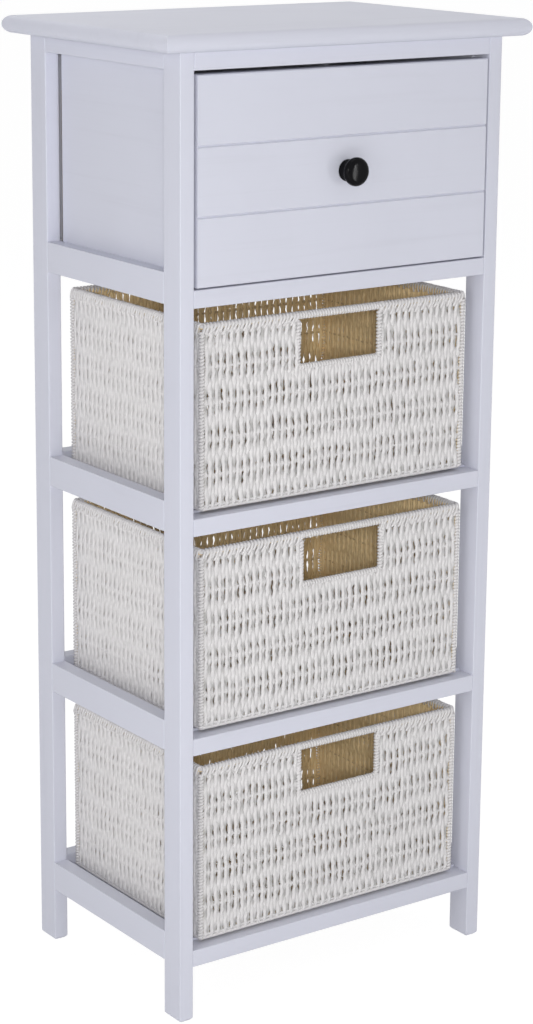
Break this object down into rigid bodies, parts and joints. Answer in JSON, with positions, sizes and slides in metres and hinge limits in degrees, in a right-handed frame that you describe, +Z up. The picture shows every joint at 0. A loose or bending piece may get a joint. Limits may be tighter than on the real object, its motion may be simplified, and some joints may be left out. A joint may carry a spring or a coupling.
{
  "type": "basket storage cabinet",
  "caption": "Tall narrow white wooden cabinet with a plank-front drawer under an overhanging round-edged top, and open bays below that hold pull-out woven rope baskets.",
  "frame": {"origin": "on the floor under the middle of the part's box", "axes": "+Z up, -Y out of the drawer front, +X to the right seen from the front"},
  "size_m": [0.4, 0.279, 0.9],
  "materials": {
    "white_paint": "satin white paint",
    "drawer_box_wood": "bare pale wood",
    "woven_rope": "white-painted twisted paper rope",
    "steel_wire": "bare drawn wire",
    "black_knob": "satin black",
    "zinc_screw": "zinc plated"
  },
  "bodies": {
    "cabinet": {"back_panel": "white_paint", "basket_runner_lower_left": "white_paint", "basket_runner_lower_right": "white_paint", "basket_runner_middle_left": "white_paint", "basket_runner_middle_right": "white_paint", "basket_runner_upper_left": "white_paint", "basket_runner_upper_right": "white_paint", "drawer_kicker_left": "white_paint", "drawer_kicker_right": "white_paint", "drawer_runner_left": "white_paint", "drawer_runner_right": "white_paint", "front_rail_bottom": "white_paint", "front_rail_lower": "white_paint", "front_rail_middle": "white_paint", "front_rail_top": "white_paint", "front_rail_upper": "white_paint", "post_front_left": "white_paint", "post_front_right": "white_paint", "post_rear_left": "white_paint", "post_rear_right": "white_paint", "rear_rail_bottom": "white_paint", "rear_rail_lower": "white_paint", "rear_rail_middle": "white_paint", "rear_rail_top": "white_paint", "rear_rail_upper": "white_paint", "side_panel_left": "white_paint", "side_panel_right": "white_paint", "side_rail_left_bottom": "white_paint", "side_rail_left_lower": "white_paint", "side_rail_left_middle": "white_paint", "side_rail_left_top": "white_paint", "side_rail_left_upper": "white_paint", "side_rail_right_bottom": "white_paint", "side_rail_right_lower": "white_paint", "side_rail_right_middle": "white_paint", "side_rail_right_top": "white_paint", "side_rail_right_upper": "white_paint", "top_board": "white_paint", "top_screws": "zinc_screw"},
    "drawer": {"drawer_back": "drawer_box_wood", "drawer_bottom": "drawer_box_wood", "drawer_front": "white_paint", "drawer_knob": "black_knob", "drawer_side_left": "drawer_box_wood", "drawer_side_right": "drawer_box_wood", "knob_screw": "zinc_screw"},
    "basket_upper": {"basket_upper_handle_binding": "woven_rope", "basket_upper_rim": "woven_rope", "basket_upper_weave": "woven_rope", "basket_upper_wire_frame": "steel_wire"},
    "basket_middle": {"basket_middle_handle_binding": "woven_rope", "basket_middle_rim": "woven_rope", "basket_middle_weave": "woven_rope", "basket_middle_wire_frame": "steel_wire"},
    "basket_lower": {"basket_lower_handle_binding": "woven_rope", "basket_lower_rim": "woven_rope", "basket_lower_weave": "woven_rope", "basket_lower_wire_frame": "steel_wire"}
  },
  "joints": [
    {"name": "drawer_slide", "type": "slide", "parent": "cabinet", "child": "drawer", "axis": [0, -1, 0], "range_m": [0, 0.165]},
    {"name": "basket_upper_slide", "type": "slide", "parent": "cabinet", "child": "basket_upper", "axis": [0, -1, 0], "range_m": [0, 0.25]},
    {"name": "basket_middle_slide", "type": "slide", "parent": "cabinet", "child": "basket_middle", "axis": [0, -1, 0], "range_m": [0, 0.25]},
    {"name": "basket_lower_slide", "type": "slide", "parent": "cabinet", "child": "basket_lower", "axis": [0, -1, 0], "range_m": [0, 0.25]}
  ]
}
